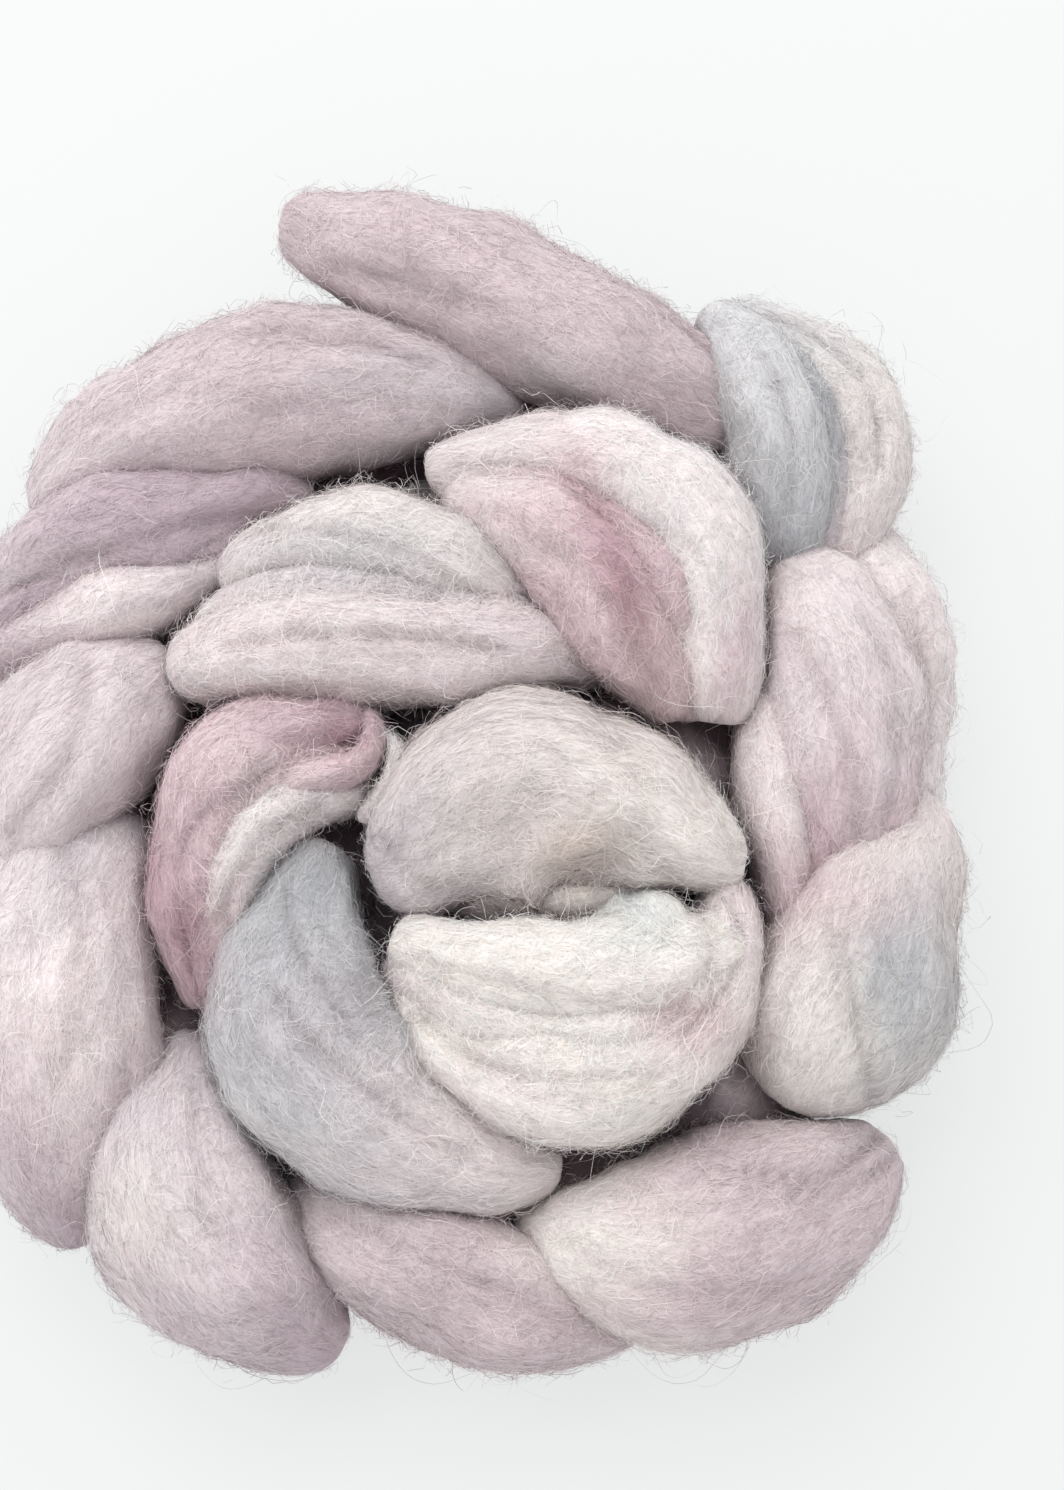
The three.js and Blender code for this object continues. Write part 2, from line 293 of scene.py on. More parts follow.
# Under them lie soft streaks. Together they make the wool this light, from none to their full sum.
GRAIN_STREAKS = ((0.8, 0.07), 0, 0.4)
GRAIN_SUM = 1.75
GRAIN_LIGHT = (0.71, 1.14)
GRAIN_BUMP = {"Strength": 0.5, "Distance": 0.0003}

# What the materials' shaders are set to.
STRAND_FINISH = {"Roughness": 0.95, "Specular IOR Level": 0.08, "Sheen Weight": 0.25,
                 "Sheen Roughness": 0.6, "Sheen Tint": (1.0, 0.98, 0.98, 1.0)}
FIBRE_FINISH = {"Roughness": 0.7, "Specular IOR Level": 0.2, "Sheen Weight": 0.2}
FLOOR_FINISH = {"Base Color": (0.24, 0.245, 0.243, 1.0), "Roughness": 0.9,
                "Emission Color": (0.985, 1.0, 0.995, 1.0), "Emission Strength": 0.62}

# The three ways in which single fibres lie on the wool. Columns: points in a fibre, its length,
# its thickness, how far it heads off the strand in degrees, its crimp, how high it rises, and how
# much of the wool's painted shade it takes.
FIBRES = {
    "combed": {"points": 5, "length": (5, 12), "thick": (0.09, 0.15), "spread": 30,
               "crimp": (0.2, 0.6), "rise": 0.45, "shaded": 0.8},
    "fuzz": {"points": 5, "length": (3, 8), "thick": (0.08, 0.12), "spread": 80,
             "crimp": (0.5, 1.4), "rise": 1.3, "shaded": 0.55},
    "flyaway": {"points": 12, "length": (8, 26), "thick": (0.08, 0.12), "spread": 80,
                "crimp": (0.5, 1.6), "rise": 3.0, "shaded": 0.15},
}


def linear(dye):
    """The named dye as the linear colour that Blender mixes."""
    value = np.array(DYES[dye]) / 255
    return np.where(value <= 0.04045, value / 12.92, ((value + 0.055) / 1.055) ** 2.4)


def through(stations, u):
    """The smooth value at u, from 0 to 1, of a run that passes through evenly spaced stations."""
    stations = np.asarray(stations, float)
    u = np.asarray(u, float)[..., None] if stations.ndim > 1 else np.asarray(u, float)
    last = len(stations) - 1
    total = 0.0
    for i, station in enumerate(stations):
        share = 1.0
        for j in range(last + 1):
            if j != i:
                share = share * (u * last - j) / (i - j)
        total = total + station * share
    return total


def unit(vectors):
    """The vectors at a length of 1."""
    return vectors / np.maximum(np.linalg.norm(vectors, axis=-1, keepdims=True), 1e-9)


class Fold:
    """One fold of the strand: a ball drawn out along a bent path, ridged by bundles of fibre."""

    def __init__(self, name, path, wide, deep, dyes, seed):
        self.name = name
        self.path = np.array(path, float) - NEST_MIDDLE
        self.wide = wide
        self.deep = deep
        self.dyes = [linear(dye) for dye in dyes]
        steps = np.diff(through(self.path, np.linspace(0, 1, 41)), axis=0)
        self.length = float(np.linalg.norm(steps, axis=1).sum())
        self.girth = max(wide) + max(deep)
        self.size = min(1.0, max(wide) / 16)
        rng = np.random.default_rng(seed)
        self.phases = rng.uniform(0, 2 * math.pi, (len(BUNDLES), 4))
        self.lump_ways = unit(rng.normal(0, 1, (len(LUMPS), 2, 3)))
        self.lump_phases = rng.uniform(0, 2 * math.pi, (len(LUMPS), 2))
        self.creases = []
        self.dark_below = DARK_BELOW["under" if name.startswith("under") else "upper"]
        for crease_fold, first, second, third, deep_in, half_wide in CREASES:
            if crease_fold == name:
                line = through([first, second, third], np.linspace(0, 1, CREASE_STEPS))
                self.creases.append((line - NEST_MIDDLE[:2], deep_in, half_wide))

    def frame(self, u):
        """The middle of the strand at u, and the directions across it and above it."""
        u = np.asarray(u, float)
        step = 0.01
        ahead = unit(through(self.path, u + step) - through(self.path, u - step))
        across = unit(np.stack([-ahead[..., 1], ahead[..., 0], np.zeros_like(u)], axis=-1))
        return through(self.path, u), across, np.cross(ahead, across)

    def relief(self, points, u, angle):
        """How far the bundles and lumps stand out of the plain ball, in millimetres."""
        height = np.zeros(points.shape[:-1])
        for (count, tall), phase in zip(BUNDLES, self.phases):
            # A bundle wanders round the strand and swells along it: no ridge is straight or even.
            wander = (0.9 * np.sin(2.3 * math.pi * u + phase[1])
                      + 0.5 * np.sin(5.1 * math.pi * u + phase[2]))
            swell = 0.65 + 0.35 * np.sin(3.1 * math.pi * u + phase[3])
            turn = count * angle + phase[0]
            ridge = np.sin(turn + wander * math.sqrt(count)) - 0.35 * np.cos(2 * turn)
            height += tall * swell * ridge
        for (length, tall), ways, phases in zip(LUMPS, self.lump_ways, self.lump_phases):
            for way, phase in zip(ways, phases):
                height += tall * np.sin(2 * math.pi / length * (points @ way) + phase)
        return height * self.size

    def pressed(self, points, angle):
        """How far the fold's creases press in at points on its upper skin, in millimetres."""
        depth = np.zeros(points.shape[:-1])
        for line, deep_in, half_wide in self.creases:
            off = points[..., None, :2] - line
            near = (off ** 2).sum(-1).min(-1)
            depth += deep_in * np.exp(-near / half_wide ** 2)
        return depth * np.clip(2 * np.sin(angle) + 0.5, 0, 1)

    def surface(self, u, angle, lift=0.0, plain=False):
        """Points on the fold's skin, in millimetres, and the directions out of it."""
        u, angle = np.broadcast_arrays(u, angle)
        middle, across, above = self.frame(u)
        fill = np.sqrt(np.maximum(1 - (2 * u - 1) ** 2, 0)) ** END_BLUNTNESS
        half_wide = (through(self.wide, u) * fill * np.cos(angle))[..., None]
        half_deep = (through(self.deep, u) * fill * np.sin(angle))[..., None]
        out = across * np.cos(angle)[..., None] + above * np.sin(angle)[..., None]
        points = middle + across * half_wide + above * half_deep
        if not plain:
            relief = self.relief(points, u, angle) * fill ** 2 - self.pressed(points, angle)
            points = points + out * (relief + lift)[..., None]
        points[..., 2] = np.maximum(points[..., 2], 0)
        return points, out

    def facing(self, u, angle):
        """The directions square to the fold's skin."""
        step = 0.012
        turn = 0.06
        ahead = (self.surface(np.clip(u + step, 0, 1), angle)[0]
                 - self.surface(np.clip(u - step, 0, 1), angle)[0])
        sideways = self.surface(u, angle + turn)[0] - self.surface(u, angle - turn)[0]
        return unit(np.cross(sideways, ahead))

    def dye(self, points, u, angle):
        """The colour of the wool at points on the skin, streaked along the strand."""
        streak = np.sin(5 * angle + self.phases[0, 0]
                        + 2 * np.sin(2 * math.pi * u + self.phases[1, 0]))
        fine = np.sin(17 * angle + self.phases[2, 0]
                      + 3 * np.sin(3 * math.pi * u + self.phases[3, 0]))
        along = np.clip(u + 0.07 * streak + 0.03 * fine, 0, 1)
        before = np.clip(1 - 2 * along, 0, 1)[..., None]
        after = np.clip(2 * along - 1, 0, 1)[..., None]
        start, crest, end = self.dyes
        colour = start * before + crest * (1 - before - after) + end * after
        for x, y, reach_across, reach_along, turned, name, strength in DYE_PATCHES:
            off_x = points[..., 0] + NEST_MIDDLE[0] - x
            off_y = points[..., 1] + NEST_MIDDLE[1] - y
            side, ahead = math.cos(math.radians(turned)), math.sin(math.radians(turned))
            sideways = (off_x * side + off_y * ahead) / reach_across
            lengthways = (off_y * side - off_x * ahead) / reach_along
            reach = sideways ** 2 + lengthways ** 2 + 0.3 * streak + 0.15 * fine
            amount = strength * np.minimum(np.exp(-0.8 * reach), 1)
            colour = colour + (linear(name) - colour) * amount[..., None]
        return colour * (1 + 0.015 * streak + 0.015 * fine)[..., None]

    def dye_with_painted_shade(self, points, u, angle):
        """The dye with painted shade: darker where folds close in and in the bottom of a crease."""
        openness = open_at(self, u, angle)
        # Painted shade: the dye is darkened where the folds close in on it and where a crease
        # presses in.
        light = np.clip((openness - self.dark_below) / FULL_LIGHT_OVER, LEAST_LIGHT, 1)
        light = light ** LIGHT_CURVE * np.exp(-CREASE_SHADE * self.pressed(points, angle))
        return self.dye(points, u, angle) * light[..., None] ** SHADE_WARMTH


def under_folds(ring, seed):
    """The folds of one ring underneath, each along the ring and a little across it."""
    folds = []
    for i in range(ring["folds"]):
        angle = math.radians(ring["turn"] + 360 * i / ring["folds"])
        crest = np.array([math.cos(angle) * ring["across"] + ring["x"],
                          math.sin(angle) * ring["along"] + ring["y"], ring["z"]])
        ahead = unit(np.array([-math.sin(angle) * ring["across"],
                               math.cos(angle) * ring["along"], 0.0]))
        outward = np.array([ahead[1], -ahead[0], 0.0])
        sink = np.array([0.0, 0.0, -UNDER_END["sink"]])
        start = crest - ahead * ring["length"] / 2 + outward * ring["sway"] / 2 + sink
        end = crest + ahead * ring["length"] / 2 - outward * ring["sway"] * 1.5 + sink
        wide = [ring["wide"] * share for share in (UNDER_END["narrow"], 1, UNDER_END["narrow"])]
        deep = [ring["deep"] * share for share in (UNDER_END["thin"], 1, UNDER_END["thin"])]
        dyes = [UNDER_DYES[(i + k) % len(UNDER_DYES)] for k in range(3)]
        folds.append(Fold(f"under_{seed + i}", [start, crest, end], wide, deep, dyes, seed + i))
    return folds


def joined_balls(count, sections):
    """Unit balls with their poles on Z, one for each fold, as one mesh all at the origin."""
    made = bmesh.new()
    bmesh.ops.create_uvsphere(
        made, u_segments=sections["around"], v_segments=sections["along"], radius=1)
    ball = bpy.data.meshes.new("ball")
    made.to_mesh(ball)
    made.free()
    points = [vertex.co[:] for vertex in ball.vertices]
    faces = [polygon.vertices[:] for polygon in ball.polygons]
    mesh = bpy.data.meshes.new("balls")
    shifted = [[index + k * len(points) for index in face] for k in range(count) for face in faces]
    mesh.from_pydata(points * count, [], shifted)
    bpy.data.meshes.remove(ball)
    return mesh


def strand_places(mesh):
    """Each point's place along its strand, 0 to 1, and its angle round it, from its ball."""
    points = np.empty(len(mesh.vertices) * 3)
    mesh.vertices.foreach_get("co", points)
    points = points.reshape(-1, 3)
    return (np.clip(points[:, 2], -1, 1) + 1) / 2, np.arctan2(points[:, 1], points[:, 0])


def over_the_seam(openness):
    """The grid with its buried cells, marked -1, filled from the nearest cells that show."""
    for _ in range(max(openness.shape)):
        buried = openness < 0
        if not buried.any() or buried.all():
            break
        showing = np.where(buried, 0, openness)
        total = np.zeros(openness.shape)
        number = np.zeros(openness.shape)
        for step in (-1, 1):
            total += np.roll(showing, step, axis=1)
            number += np.roll(~buried, step, axis=1)
            rows = np.clip(np.arange(openness.shape[0]) + step, 0, openness.shape[0] - 1)
            total += showing[rows]
            number += ~buried[rows]
        openness = np.where(buried & (number > 0), total / np.maximum(number, 1), openness)
    return np.maximum(openness, 0)


def grid_middles():
    """The places along and round a fold of its openness grid's cells."""
    along = OPENNESS_GRID["along"]
    around = OPENNESS_GRID["around"]
    return np.meshgrid((np.arange(along) + 0.5) / along,
                       np.arange(around) * 2 * math.pi / around - math.pi, indexing="ij")


def openness_grids(folds):
    """For each fold, how open the wool is to the sky and the room over its whole skin."""
    ball = joined_balls(1, OPENNESS_BALL)
    u, angle = strand_places(ball)
    faces = [list(polygon.vertices) for polygon in ball.polygons]
    points = []
    polygons = []
    for fold in folds:
        polygons += [[index + len(points) for index in face] for face in faces]
        points += [tuple(point) for point in fold.surface(u, angle, plain=True)[0]]
    tree = BVHTree.FromPolygons(points, polygons)
    turn = math.pi * (3 - math.sqrt(5))
    rays = []
    for i in range(OPENNESS_RAYS):
        height = 1 - 2 * (i + 0.5) / OPENNESS_RAYS
        across = math.sqrt(1 - height * height)
        rays.append(Vector((across * math.cos(turn * i), across * math.sin(turn * i), height)))
    middle_u, middle_angle = grid_middles()
    for fold in folds:
        skin, out = fold.surface(middle_u, middle_angle, plain=True)
        openness = np.zeros(middle_u.shape)
        for index in np.ndindex(middle_u.shape):
            origin = Vector(skin[index] + out[index] * OPENNESS_CLEAR_OF_SKIN)
            facing = Vector(out[index])
            free = 0.0
            total = 0.0
            inside = 0
            for ray in rays:
                weight = ray.dot(facing)
                if weight < 0.1:
                    continue
                total += weight
                hit = tree.ray_cast(origin, ray, OPENNESS_REACH)
                if hit[0] is None:
                    free += weight * (1 if ray.z > -0.1 else TABLE_LIGHT)
                else:
                    free += weight * MET_AT_REACH * hit[3] / OPENNESS_REACH
                    inside += hit[1].dot(ray) > 0
            openness[index] = free / total if inside < 2 else -1
        fold.openness = over_the_seam(openness)


def open_at(fold, u, angle):
    """The fold's openness between the middles of its grid's cells."""
    rows = np.clip(u * OPENNESS_GRID["along"] - 0.5, 0, OPENNESS_GRID["along"] - 1.001)
    columns = (angle + math.pi) / (2 * math.pi) * OPENNESS_GRID["around"]
    row = rows.astype(int)
    column = np.floor(columns).astype(int)
    down = rows - row
    over = columns - column
    column %= OPENNESS_GRID["around"]
    beside = (column + 1) % OPENNESS_GRID["around"]
    near = fold.openness[row, column] * (1 - over) + fold.openness[row, beside] * over
    far = fold.openness[row + 1, column] * (1 - over) + fold.openness[row + 1, beside] * over
    return near * (1 - down) + far * down


def finish_piece(mesh, name, material):
    """The mesh as a smooth piece of wool that takes the place of the plain solid."""
    piece = bpy.data.objects.new(name, mesh)
    bpy.context.collection.objects.link(piece)
    mesh.materials.append(material)
    mesh.polygons.foreach_set("use_smooth", np.ones(len(mesh.polygons), bool))
    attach(piece, "root")
    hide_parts("top_braid")
    return piece


def body_piece(name, folds, sections, material):
    """The folds' skins as one mesh, with the dye and its painted shade and the strand's own
    directions on it.
    """
    mesh = joined_balls(len(folds), sections)
    mesh.name = name
    u, angle = strand_places(mesh)
    points = np.empty((len(u), 3))
    colour = np.ones((len(u), 4))
    size = np.empty((len(u), 2))
    for fold, part in zip(folds, np.split(np.arange(len(u)), len(folds))):
        points[part] = fold.surface(u[part], angle[part])[0]
        # Painted shade: the dye attribute holds the dye darkened where folds close in and in
        # creases, and a little more under the coat.
        colour[part, :3] = BODY_SHADE * fold.dye_with_painted_shade(points[part], u[part], angle[part])
        size[part] = (fold.girth / 2, fold.length)
    mesh.vertices.foreach_set("co", (points * MM).ravel())
    dye = mesh.attributes.new("dye", "FLOAT_COLOR", "POINT")
    dye.data.foreach_set("color", colour.ravel())
    corner = np.empty(len(mesh.loops), int)
    mesh.loops.foreach_get("vertex_index", corner)
    first = np.empty(len(mesh.polygons), int)
    mesh.polygons.foreach_get("loop_start", first)
    sides = np.diff(np.append(first, len(corner)))
    way = (angle[corner] + math.pi / 2) % (2 * math.pi)
    pole = (u[corner] < 1e-6) | (u[corner] > 1 - 1e-6)
    largest = np.repeat(np.maximum.reduceat(np.where(pole, 0, way), first), sides)
    smallest = np.repeat(np.minimum.reduceat(np.where(pole, 9, way), first), sides)
    wraps = largest - smallest > math.pi
    way = np.where(wraps & (way < math.pi), way + 2 * math.pi, way)
    way = np.where(pole, (largest + smallest) / 2, way)
    strand = mesh.uv_layers.new(name="strand")
    strand.data.foreach_set("uv", (np.stack([way, u[corner]], axis=1) * size[corner]).ravel())
    mesh.update()
    return finish_piece(mesh, name, material)


def fibre_strips(fold, kind, count, rng):
    """Fibres lying along a fold's skin as thin strips with pointed tips: points, facings, and dyes
    with a share of painted shade.
    """
    sizes = FIBRES[kind]
    middle_u, middle_angle = grid_middles()
    fill = np.sqrt(1 - (2 * middle_u - 1) ** 2) ** END_BLUNTNESS
    # Few fibres root where the wool is closed in, or on the underside.
    weight = fill * through(fold.wide, middle_u) * np.clip(fold.openness - 0.1, 0, 0.4)
    weight *= np.where(np.sin(middle_angle) < -0.5, 0.3, 1.0)
    chosen = rng.choice(weight.size, count, p=(weight / weight.sum()).ravel())
    rows, columns = OPENNESS_GRID["along"], OPENNESS_GRID["around"]
    u = (chosen // columns + rng.uniform(0, 1, count)) / rows
    angle = (chosen % columns + rng.uniform(-0.5, 0.5, count)) * 2 * math.pi / columns - math.pi
    along = np.linspace(0, 1, sizes["points"])
    length = rng.uniform(*sizes["length"], count)[:, None]
    heading = (rng.normal(0, math.radians(sizes["spread"]), count)
               + math.pi * rng.integers(0, 2, count))[:, None]
    waves = rng.uniform(0.1, 0.22, count)[:, None] * sizes["points"]
    crimp = rng.uniform(*sizes["crimp"], count)[:, None]
    bend = crimp * np.sin(2 * math.pi * waves * along + rng.uniform(0, 6.3, count)[:, None])
    bend += rng.normal(0, 0.09, count)[:, None] * length * (2 * along - 1) ** 2
    travel = length * (along - 0.4)
    radius = np.maximum(through(fold.wide, u) * 0.9, 3)[:, None]
    path_u = u[:, None] + (travel * np.cos(heading) - bend * np.sin(heading)) / fold.length
    path_angle = angle[:, None] + (travel * np.sin(heading) + bend * np.cos(heading)) / radius
    rise = sizes["rise"] * rng.gamma(1.6, 0.65, count)[:, None]
    arched = rng.random(count)[:, None] < 0.5
    lift = (rise * np.where(arched, np.sin(math.pi * along), along ** 1.4)
            + rng.uniform(-0.1, 0.25, count)[:, None])
    points, out = fold.surface(np.clip(path_u, 0.005, 0.995), path_angle, lift)
    ahead = unit(np.gradient(points, axis=1))
    side = np.cross(ahead, out)
    roll = np.clip(rng.normal(0, 0.5 if kind == "combed" else 0.8, count), -1.3, 1.3)[:, None, None]
    side = unit(side * np.cos(roll) + out * np.sin(roll))
    thick = rng.uniform(*sizes["thick"], count)[:, None]
    half = side * (thick / 2)[..., None]
    tips = sizes["points"] * 2 - 2
    edge = np.empty((count, tips, 3))
    edge[:, 0] = points[:, 0]
    edge[:, 1:-1:2] = points[:, 1:-1] - half[:, 1:-1]
    edge[:, 2:-1:2] = points[:, 1:-1] + half[:, 1:-1]
    edge[:, -1] = points[:, -1]
    edge[..., 2] = np.maximum(edge[..., 2], 0)
    step = (np.arange(tips) + 1) // 2
    facing = fold.facing(u, angle)[:, None] + 0.8 * (out[:, step] - out[:, :1])
    facing += rng.normal(0, FACING_SPREAD, (count, 1, 3))
    root, _ = fold.surface(u, angle)
    wrapped = (angle + math.pi) % (2 * math.pi) - math.pi
    dye = fold.dye(root, u, wrapped)
    # Each fibre takes a share of the painted shade at its root.
    dye += (fold.dye_with_painted_shade(root, u, wrapped) - dye) * sizes["shaded"]
    dye = dye * rng.uniform(*FIBRE_LIGHT, count)[:, None]
    pale = rng.random(count)[:, None] < PALE_SHARE
    dye = np.where(pale, dye * 0.6 + linear("cream") * 0.62 * dye.mean(1)[:, None], dye)
    return edge, unit(facing), np.clip(dye, 0, 0.95)


def coat_piece(name, folds, counts, seed, material):
    """The fibre coat of some folds: thin strips of triangles, all joined in one mesh."""
    rng = np.random.default_rng(seed)
    areas = np.array([fold.length * fold.girth * np.clip(fold.openness, 0, 0.5).mean()
                      for fold in folds])
    shares = areas / areas.sum()
    points = []
    facings = []
    dyes = []
    triangles = []
    placed = 0
    for kind, number in counts.items():
        tips = FIBRES[kind]["points"] * 2 - 2
        left = np.arange(1, tips - 3, 2)
        pairs = [np.stack([left, left + 1, left + 3], axis=-1),
                 np.stack([left, left + 3, left + 2], axis=-1)]
        strip = np.concatenate([[[0, 2, 1]], *pairs, [[tips - 3, tips - 2, tips - 1]]])
        for fold, share in zip(folds, shares):
            count = int(number * share)
            edge, facing, dye = fibre_strips(fold, kind, count, rng)
            points.append(edge.reshape(-1, 3))
            facings.append(facing.reshape(-1, 3))
            dyes.append(np.repeat(dye, tips, axis=0))
            first = placed + np.arange(count)[:, None, None] * tips
            triangles.append((strip + first).reshape(-1, 3))
            placed += count * tips
    points = np.concatenate(points)
    triangles = np.concatenate(triangles)
    mesh = bpy.data.meshes.new(name)
    mesh.vertices.add(len(points))
    mesh.vertices.foreach_set("co", (points * MM).ravel())
    mesh.loops.add(triangles.size)
    mesh.loops.foreach_set("vertex_index", triangles.ravel())
    mesh.polygons.add(len(triangles))
    mesh.polygons.foreach_set("loop_start", np.arange(len(triangles)) * 3)
    mesh.update(calc_edges=True)
    colour = np.ones((len(points), 4))
    colour[:, :3] = np.concatenate(dyes)
    # The dye attribute holds each fibre's dye with its share of painted shade.
    layer = mesh.attributes.new("dye", "FLOAT_COLOR", "POINT")
    layer.data.foreach_set("color", colour.ravel())
    piece = finish_piece(mesh, name, material)
    normals = mesh.attributes.new("custom_normal", "FLOAT_VECTOR", "POINT")
    normals.data.foreach_set("vector", np.concatenate(facings).ravel())
    return piece


def node(tree, kind, **settings):
    """A new node of a kind, with its own settings."""
    made = tree.nodes.new(kind)
    for key, value in settings.items():
        setattr(made, key, value)
    return made


def fibre_grain_group():
    """Fine crimped fibres on the strand: how light the wool looks and how far they stand out."""
    group = bpy.data.node_groups.new("fibre_grain", "ShaderNodeTree")
    group.interface.new_socket("Vector", in_out="INPUT", socket_type="NodeSocketVector")
    group.interface.new_socket("Lightness", in_out="OUTPUT", socket_type="NodeSocketFloat")
    group.interface.new_socket("Height", in_out="OUTPUT", socket_type="NodeSocketFloat")
    start = node(group, "NodeGroupInput")
    end = node(group, "NodeGroupOutput")

    def noise(scale, turned, detail, distortion):
        mapping = node(group, "ShaderNodeMapping")
        mapping.inputs["Rotation"].default_value = (0, 0, math.radians(turned))
        mapping.inputs["Scale"].default_value = (*scale, 1)
        made = node(group, "ShaderNodeTexNoise", noise_dimensions="2D")
        made.inputs["Scale"].default_value = 1
        made.inputs["Detail"].default_value = detail
        made.inputs["Distortion"].default_value = distortion
        group.links.new(start.outputs["Vector"], mapping.inputs["Vector"])
        group.links.new(mapping.outputs["Vector"], made.inputs["Vector"])
        return made.outputs["Fac"]

    def maths(operation, *values):
        made = node(group, "ShaderNodeMath", operation=operation)
        for socket, value in zip(made.inputs, values):
            if isinstance(value, float):
                socket.default_value = value
            else:
                group.links.new(value, socket)
        return made.outputs[0]

    def spread_over(value, full_at, least, most):
        made = node(group, "ShaderNodeMapRange")
        made.inputs["From Max"].default_value = full_at
        made.inputs["To Min"].default_value = least
        made.inputs["To Max"].default_value = most
        group.links.new(value, made.inputs["Value"])
        return made.outputs["Result"]

    lines = None
    for scale, turned, distortion in GRAIN_LINES:
        off_line = maths("ABSOLUTE", maths("SUBTRACT", noise(scale, turned, 1, distortion), 0.5))
        line = spread_over(off_line, GRAIN_LINE_WIDTH, 1.0, 0.0)
        lines = line if lines is None else maths("MAXIMUM", lines, line)
    scale, turned, distortion = GRAIN_STREAKS
    grain = maths("ADD", lines, noise(scale, turned, 2, distortion))
    group.links.new(spread_over(grain, GRAIN_SUM, *GRAIN_LIGHT), end.inputs["Lightness"])
    group.links.new(grain, end.inputs["Height"])
    return group


def plain_finish(name, finish):
    """A material with its shader set to a finish, the same all over, and that shader."""
    material = bpy.data.materials.new(name)
    material.use_nodes = True
    shader = material.node_tree.nodes["Principled BSDF"]
    for socket, value in finish.items():
        shader.inputs[socket].default_value = value
    return material, shader


def strand_material(grain):
    """The body of the combed strand: dyed with its painted shade, softly streaked and matt."""
    material, shader = plain_finish("combed_strand", STRAND_FINISH)
    tree = material.node_tree
    dye = node(tree, "ShaderNodeAttribute", attribute_name="dye")
    strand = node(tree, "ShaderNodeUVMap", uv_map="strand")
    fibres = node(tree, "ShaderNodeGroup", node_tree=grain)
    tinted = node(tree, "ShaderNodeVectorMath", operation="SCALE")
    bump = node(tree, "ShaderNodeBump")
    for socket, value in GRAIN_BUMP.items():
        bump.inputs[socket].default_value = value
    tree.links.new(strand.outputs["UV"], fibres.inputs["Vector"])
    tree.links.new(dye.outputs["Color"], tinted.inputs[0])
    tree.links.new(fibres.outputs["Lightness"], tinted.inputs["Scale"])
    tree.links.new(tinted.outputs["Vector"], shader.inputs["Base Color"])
    tree.links.new(fibres.outputs["Height"], bump.inputs["Height"])
    tree.links.new(bump.outputs["Normal"], shader.inputs["Normal"])
    return material


def fibre_material():
    """Single wool fibres, dyed as the strand under them, with a share of its painted shade."""
    material, shader = plain_finish("wool_fibre", FIBRE_FINISH)
    dye = node(material.node_tree, "ShaderNodeAttribute", attribute_name="dye")
    material.node_tree.links.new(dye.outputs["Color"], shader.inputs["Base Color"])
    return material


# The view of the photograph: nearly overhead, from the side across from the loose end.
AIM = np.array([18.0, 7.5, 45.0]) - NEST_MIDDLE
CAMERA_DISTANCE = 500.0
CAMERA_ELEVATION = math.radians(80)
IMAGE_HEIGHT = 1490
FOCAL_PIXELS = 2000
SENSOR = 36.0

# A soft even room, and a wide window behind the nest at the left. Its sizes are in metres.
ROOM_LIGHT = {"Color": (0.98, 0.99, 1.0, 1.0), "Strength": 0.905}
WINDOW = {"shape": "RECTANGLE", "size": 1.6, "size_y": 1.2, "energy": 12.5,
          "color": (1.0, 0.995, 0.985)}
WINDOW_PLACE = Vector((-0.4, 0.8, 1.1))
FLOOR_REACH = 3.0


def add_camera():
    """The photograph's view of the nest."""
    data = bpy.data.cameras.new("camera")
    camera = bpy.data.objects.new("camera", data)
    bpy.context.collection.objects.link(camera)
    back = Vector((0, -math.cos(CAMERA_ELEVATION), math.sin(CAMERA_ELEVATION)))
    camera.location = (Vector(AIM) + back * CAMERA_DISTANCE) * MM
    camera.rotation_euler = back.to_track_quat("Z", "Y").to_euler()
    data.sensor_width = SENSOR
    data.lens = FOCAL_PIXELS / IMAGE_HEIGHT * SENSOR
    data.clip_start = 0.01
    bpy.context.scene.camera = camera


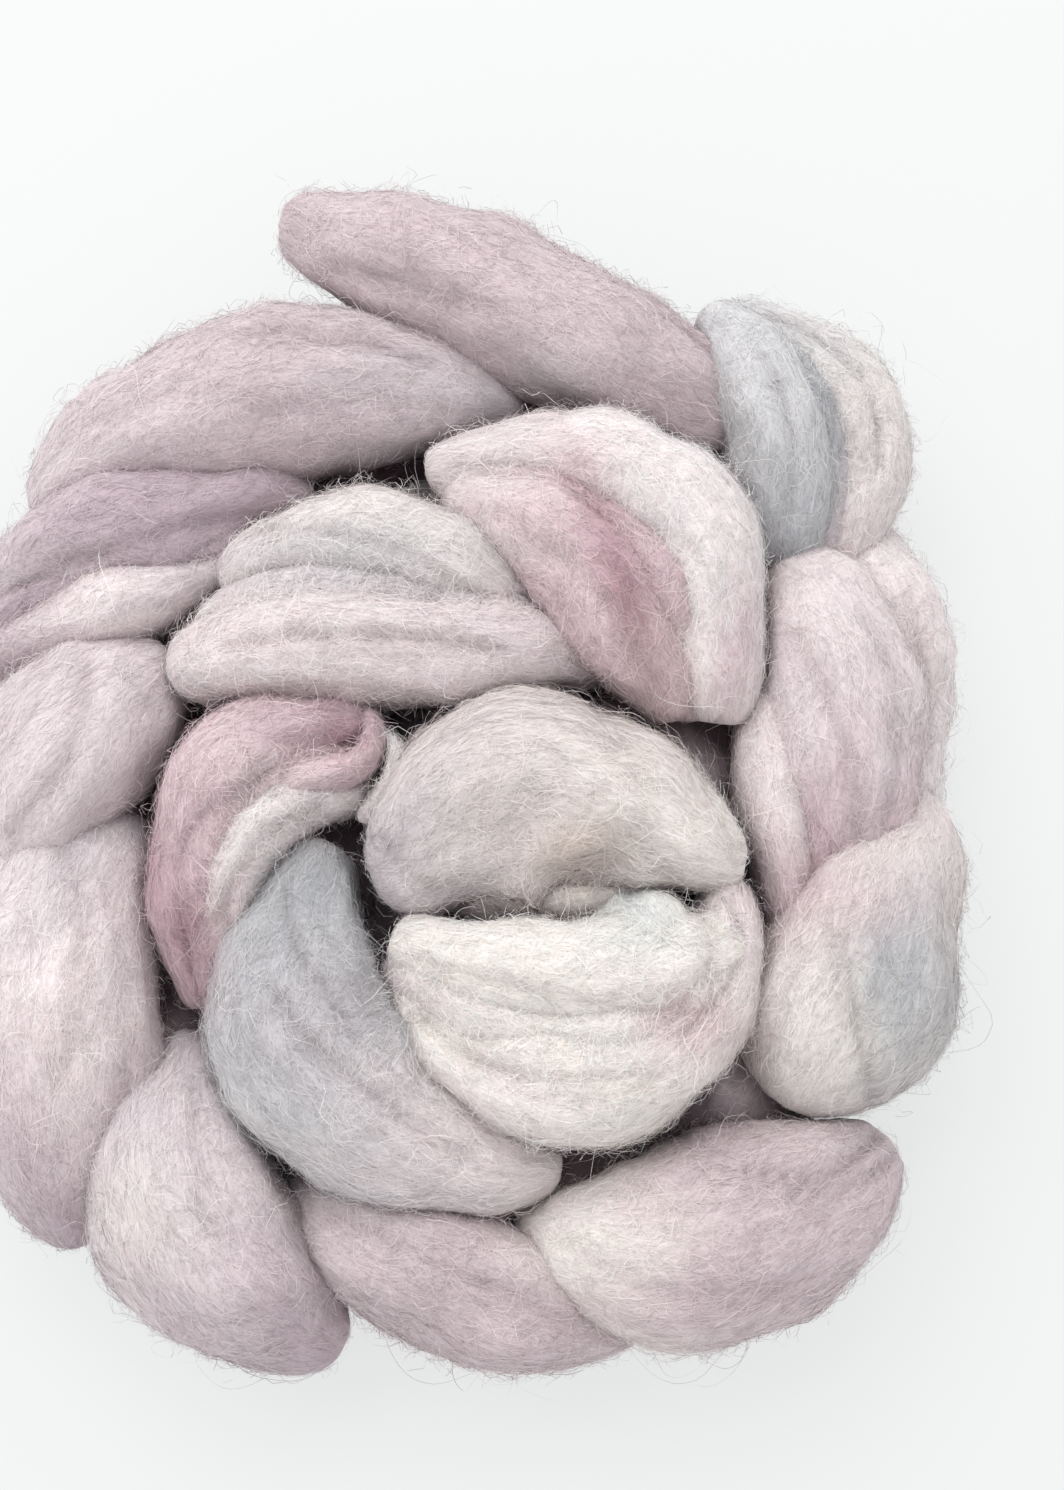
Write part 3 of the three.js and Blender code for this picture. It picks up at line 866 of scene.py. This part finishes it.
def add_floor():
    """A plain pale floor that fades into the room."""
    made = bmesh.new()
    bmesh.ops.create_grid(made, x_segments=1, y_segments=1, size=FLOOR_REACH)
    mesh = bpy.data.meshes.new("floor")
    made.to_mesh(mesh)
    made.free()
    floor = bpy.data.objects.new("floor", mesh)
    bpy.context.collection.objects.link(floor)
    mesh.materials.append(plain_finish("pale_floor", FLOOR_FINISH)[0])


def add_light():
    """The room's light from all sides and the window's from one."""
    world = bpy.data.worlds.new("room")
    world.use_nodes = True
    for socket, value in ROOM_LIGHT.items():
        world.node_tree.nodes["Background"].inputs[socket].default_value = value
    bpy.context.scene.world = world
    data = bpy.data.lights.new("window", "AREA")
    for setting, value in WINDOW.items():
        setattr(data, setting, value)
    window = bpy.data.objects.new("window", data)
    bpy.context.collection.objects.link(window)
    window.location = WINDOW_PLACE
    window.rotation_euler = WINDOW_PLACE.to_track_quat("Z", "Y").to_euler()
    bpy.context.scene.view_settings.view_transform = "Standard"


outer = [Fold(*row, seed=100 + i) for i, row in enumerate(OUTER_FOLDS)]
inner = [Fold(*row, seed=200 + i) for i, row in enumerate(INNER_FOLDS)]
under = [fold for k, ring in enumerate(UNDER_RINGS) for fold in under_folds(ring, 300 + 20 * k)]
openness_grids(outer + inner + under)

strand_wool = strand_material(fibre_grain_group())
fibre_wool = fibre_material()
body_piece("outer_turn", outer, BODY_SECTIONS, strand_wool)
body_piece("inner_turn", inner, BODY_SECTIONS, strand_wool)
body_piece("under_turns", under, UNDER_SECTIONS, strand_wool)
coat_piece("outer_coat", outer, {"combed": 17500, "fuzz": 13500}, 11, fibre_wool)
coat_piece("outer_haze", outer, {"combed": 3500, "fuzz": 24200, "flyaway": 1500}, 12, fibre_wool)
coat_piece("inner_coat", inner, {"combed": 17000, "fuzz": 13500}, 13, fibre_wool)
coat_piece("inner_haze", inner, {"combed": 4000, "fuzz": 23500, "flyaway": 1450}, 14, fibre_wool)
coat_piece("under_coat", under, {"combed": 2000, "fuzz": 5000, "flyaway": 200}, 15, fibre_wool)

add_camera()
add_floor()
add_light()
